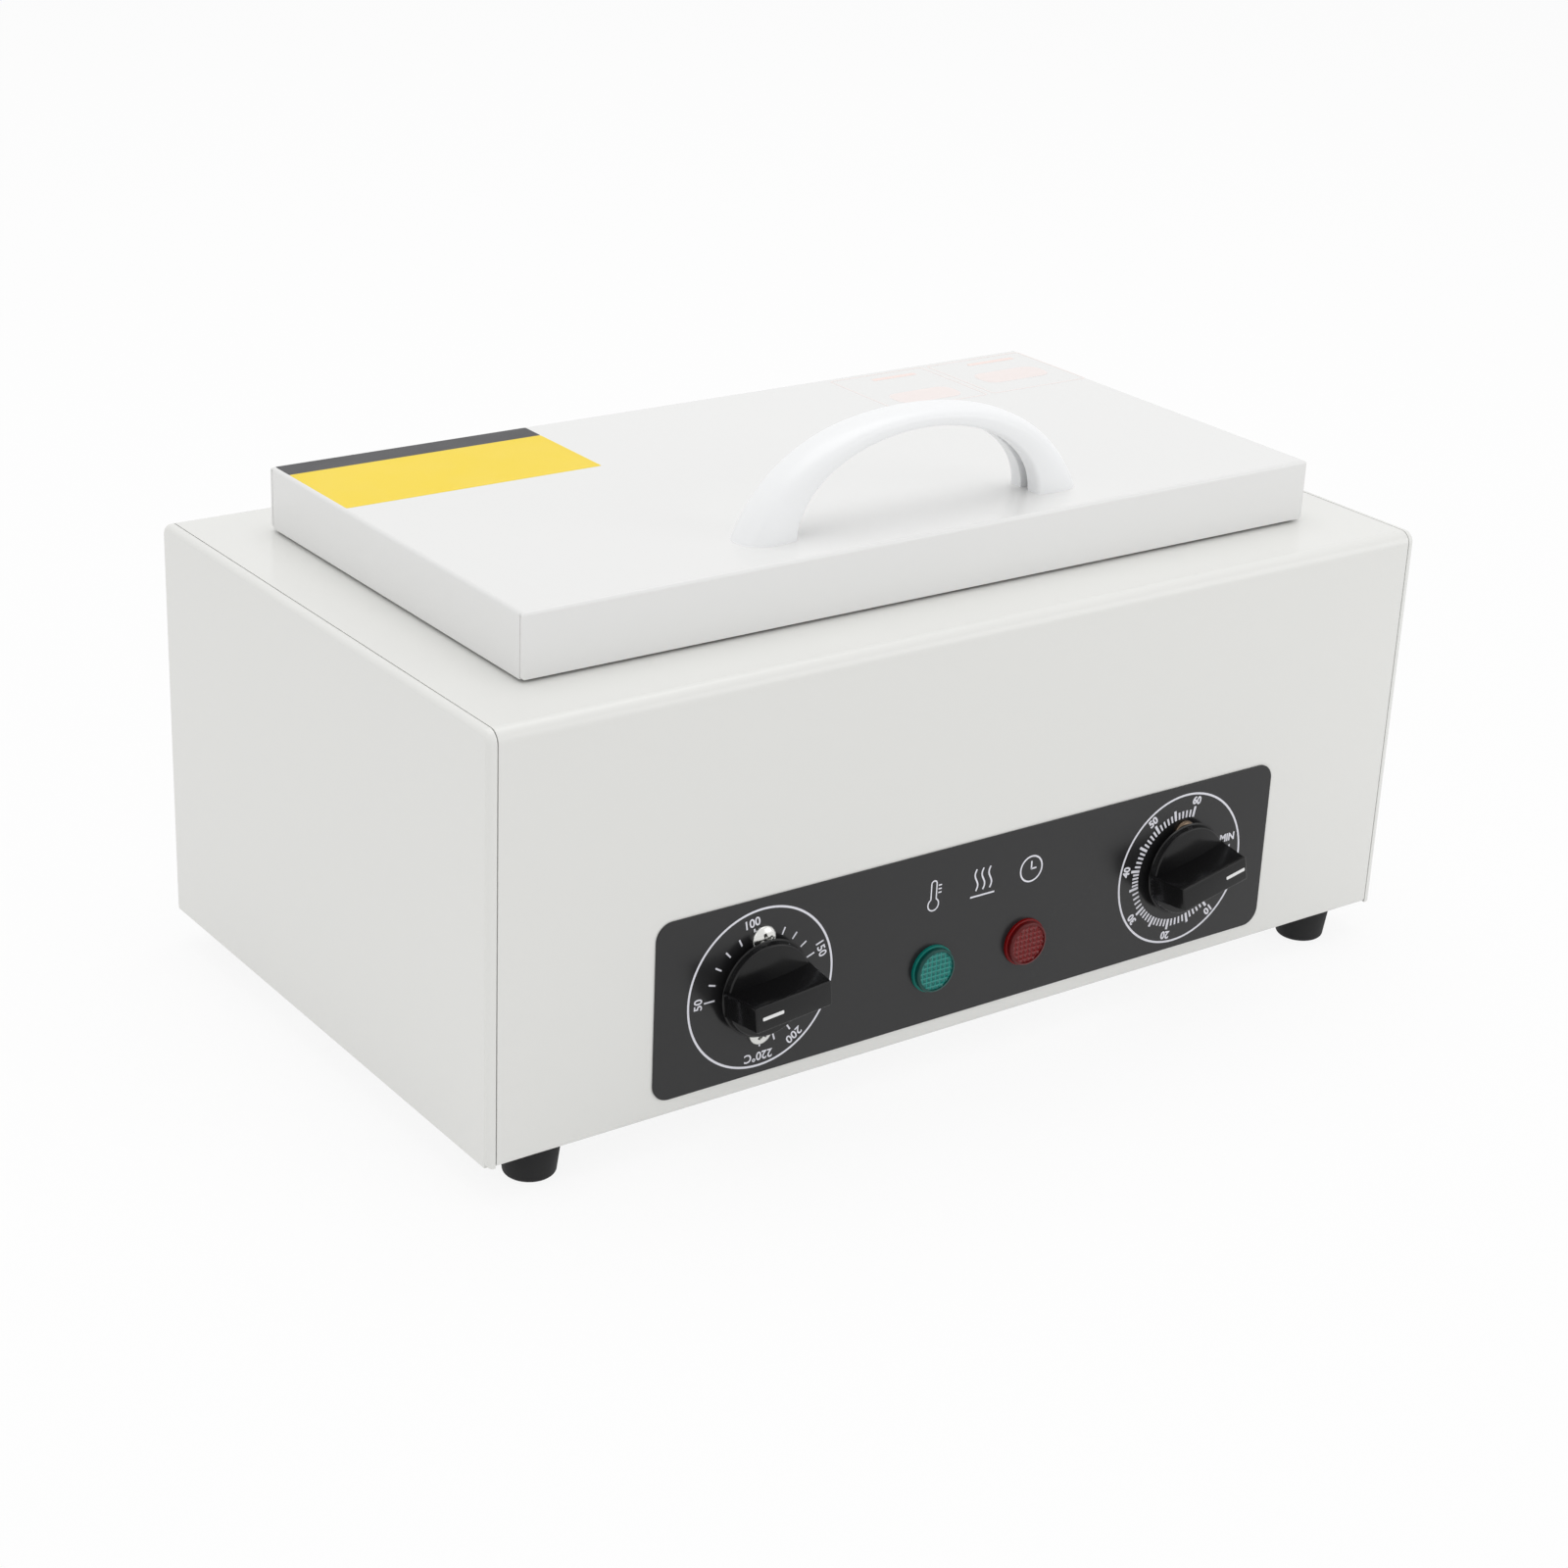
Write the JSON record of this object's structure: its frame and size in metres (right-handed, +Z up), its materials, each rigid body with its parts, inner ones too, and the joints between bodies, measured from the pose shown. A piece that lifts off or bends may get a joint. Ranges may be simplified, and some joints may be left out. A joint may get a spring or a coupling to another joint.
{
  "type": "dry heat sterilizer",
  "caption": "Bench dry heat sterilizer: white sheet-metal cabinet with a hinged lid and bow handle over a heated steel chamber, temperature and timer dials and signal lamps.",
  "frame": {"origin": "under the middle of the whole object, on the plane of the foot soles", "axes": "+X to the right seen from the front, +Y to the back, +Z up"},
  "size_m": [0.31, 0.205, 0.1762],
  "materials": {
    "white_paint": "fine satin powder coat",
    "lid_paint": "fine satin powder coat",
    "stainless": "brushed",
    "bright_steel": "zinc plated",
    "brass_screw": "plated",
    "galvanised": "galvanised",
    "element_sheath": "heat-darkened",
    "reflector": "bright",
    "copper": "drawn",
    "wool": "mineral wool",
    "ceramic": "unglazed ceramic",
    "silicone": "soft",
    "foot_rubber": "matt",
    "handle_plastic": "smooth",
    "knob_plastic": "satin",
    "panel_film": "satin",
    "black_plastic": "moulded",
    "cream_plastic": "moulded",
    "green_lens": "clear",
    "red_lens": "clear",
    "fuse_glass": "clear"
  },
  "bodies": {
    "cabinet": {"wrap_cover": "white_paint", "left_side_panel": "white_paint", "right_side_panel": "white_paint", "base_plate": "galvanised", "base_screws": "bright_steel", "foot_screws": "bright_steel", "foot_nuts": "bright_steel", "front_left_foot": "foot_rubber", "front_right_foot": "foot_rubber", "back_left_foot": "foot_rubber", "back_right_foot": "foot_rubber", "chamber_tub": "stainless", "heating_element": "element_sheath", "heater_beads": "ceramic", "heater_straps": "galvanised", "reflector_plate": "reflector", "insulation_pad": "wool", "heat_shield": "galvanised", "shield_nuts": "bright_steel", "thermal_cutout": "black_plastic", "insulation_jacket": "wool", "instrument_tray": "stainless", "body_hinge_leaves": "stainless", "hinge_pins": "stainless", "body_hinge_fasteners": "bright_steel", "control_panel": "panel_film", "thermostat_body": "cream_plastic", "thermostat_bulb": "copper", "thermostat_screws": "bright_steel", "timer_body": "cream_plastic", "timer_bell": "bright_steel", "timer_screws": "brass_screw", "green_lamp_lens": "green_lens", "red_lamp_lens": "red_lens", "lamp_bodies": "black_plastic", "lamp_clips": "bright_steel", "power_inlet": "black_plastic", "inlet_pins": "brass_screw", "inlet_fasteners": "bright_steel", "fuse_holder": "black_plastic", "fuse_nut": "black_plastic", "earth_fasteners": "brass_screw", "terminal_block": "ceramic", "terminal_screws": "bright_steel"},
    "lid": {"lid_shell": "lid_paint", "lid_inner_pan": "stainless", "lid_insulation": "wool", "lid_seal": "silicone", "lid_handle": "handle_plastic", "handle_screws": "bright_steel", "lid_hinge_leaves": "stainless", "lid_hinge_fasteners": "bright_steel"},
    "temperature_knob": {"temperature_knob": "knob_plastic", "temperature_shaft": "bright_steel"},
    "timer_knob": {"timer_knob": "knob_plastic", "timer_shaft": "bright_steel"},
    "left_tray_bail": {"left_tray_bail": "stainless"},
    "right_tray_bail": {"right_tray_bail": "stainless"},
    "fuse_cap": {"fuse_cap": "black_plastic", "glass_fuse": "fuse_glass"}
  },
  "joints": [
    {"name": "lid_hinge", "type": "hinge", "parent": "cabinet", "child": "lid", "pos_m": [0, 0.0735, 0.1315], "axis": [-1, 0, 0], "range_deg": [0, 107]},
    {"name": "temperature_turn", "type": "hinge", "parent": "cabinet", "child": "temperature_knob", "pos_m": [-0.07315, -0.087, 0.0415], "axis": [0, 1, 0], "range_deg": [0, 272]},
    {"name": "timer_turn", "type": "hinge", "parent": "cabinet", "child": "timer_knob", "pos_m": [0.07315, -0.087, 0.0415], "axis": [0, 1, 0], "range_deg": [0, 291]},
    {"name": "left_bail_swing", "type": "hinge", "parent": "cabinet", "child": "left_tray_bail", "pos_m": [-0.1012, 0.0037, 0.0975], "axis": [0, -1, 0], "range_deg": [0, 180]},
    {"name": "right_bail_swing", "type": "hinge", "parent": "cabinet", "child": "right_tray_bail", "pos_m": [0.1012, 0.0037, 0.0975], "axis": [0, 1, 0], "range_deg": [0, 180]},
    {"name": "fuse_cap_pull", "type": "slide", "parent": "cabinet", "child": "fuse_cap", "axis": [0, 1, 0], "range_m": [0, 0.024]}
  ]
}
